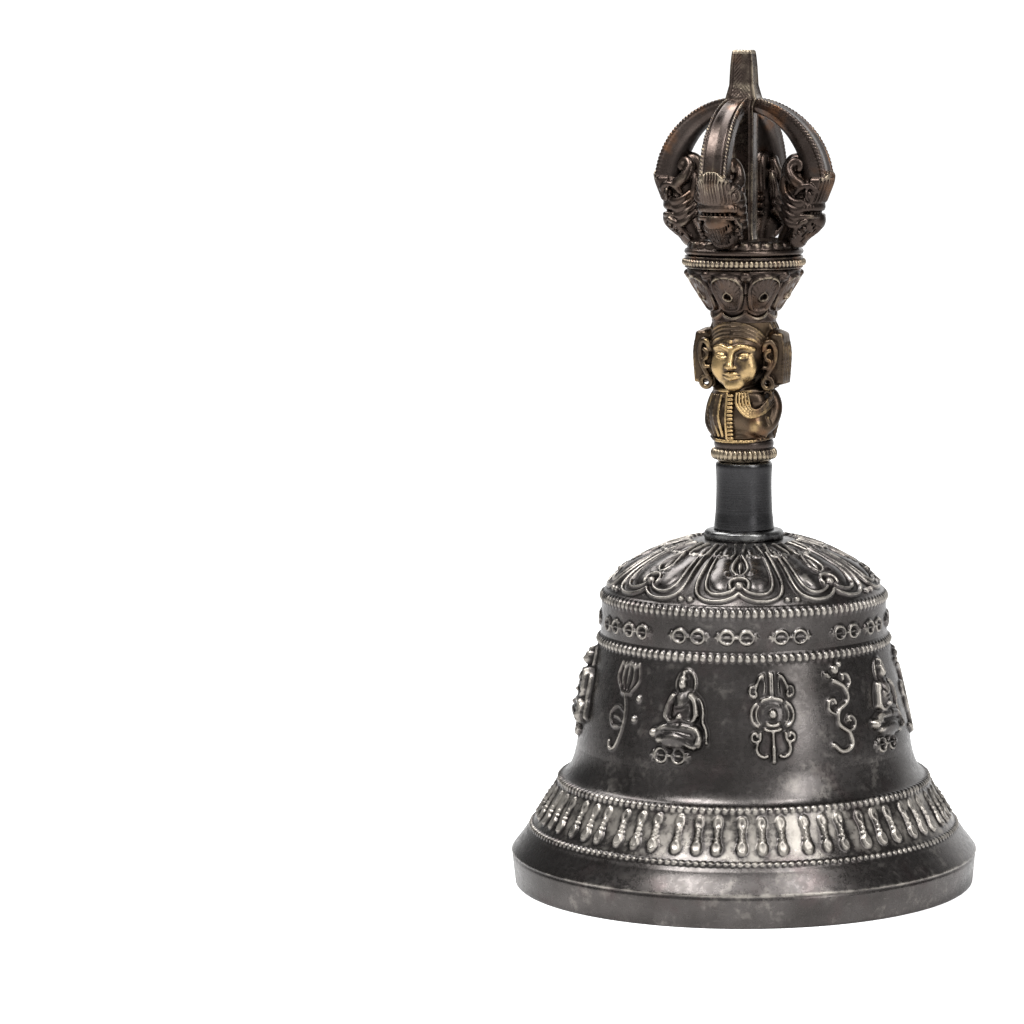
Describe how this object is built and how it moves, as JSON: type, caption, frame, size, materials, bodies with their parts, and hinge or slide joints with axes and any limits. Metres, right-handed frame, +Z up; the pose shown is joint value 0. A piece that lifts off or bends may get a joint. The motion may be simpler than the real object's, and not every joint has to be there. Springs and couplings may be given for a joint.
{
  "type": "tibetan hand bell",
  "caption": "Cast bronze ritual hand bell with a relief-covered flared body, a carved handle crowned by a vajra cage, and a free-swinging clapper hung inside.",
  "frame": {"origin": "centre of the rim's foot, where the bell stands", "axes": "+Z up the bell's axis to the tip of the vajra crown; the carved face on the handle looks along -Y; +X is to the viewer's right"},
  "size_m": [0.095, 0.095, 0.1685],
  "materials": {
    "bell_bronze": "dark patinated bronze, polished",
    "dark_turned_metal": "turned, satin, dark patina",
    "rubbed_brass": "brown patina rubbed back to brass on the high places",
    "handle_brown": "dark brown patina",
    "iron": "dark, forged"
  },
  "bodies": {
    "bell": {"bell_shell": "bell_bronze", "sleeve_collar": "dark_turned_metal", "stem_sleeve": "dark_turned_metal", "foot_ring": "rubbed_brass", "bust": "rubbed_brass", "head": "rubbed_brass", "lotus_cup": "handle_brown", "lotus_bead_ring": "rubbed_brass", "prong_seat": "handle_brown", "prong_front": "handle_brown", "prong_right": "handle_brown", "prong_back": "handle_brown", "prong_left": "handle_brown", "makara_front": "rubbed_brass", "makara_right": "rubbed_brass", "makara_back": "rubbed_brass", "makara_left": "rubbed_brass", "centre_prong": "handle_brown", "tie_rod": "iron", "crown_washer": "iron", "crown_nut": "iron", "clapper_staple": "iron"},
    "link": {"clapper_link": "iron"},
    "clapper": {"clapper_rod": "iron", "clapper_bob": "bell_bronze"}
  },
  "joints": [
    {"name": "link_swing", "type": "hinge", "parent": "bell", "child": "link", "pos_m": [0, 0, 0.0515], "axis": [1, 0, 0], "range_deg": [-20, 20]},
    {"name": "clapper_swing", "type": "hinge", "parent": "link", "child": "clapper", "pos_m": [0, 0, 0.04665], "axis": [0, 1, 0], "range_deg": [-43, 43]}
  ]
}
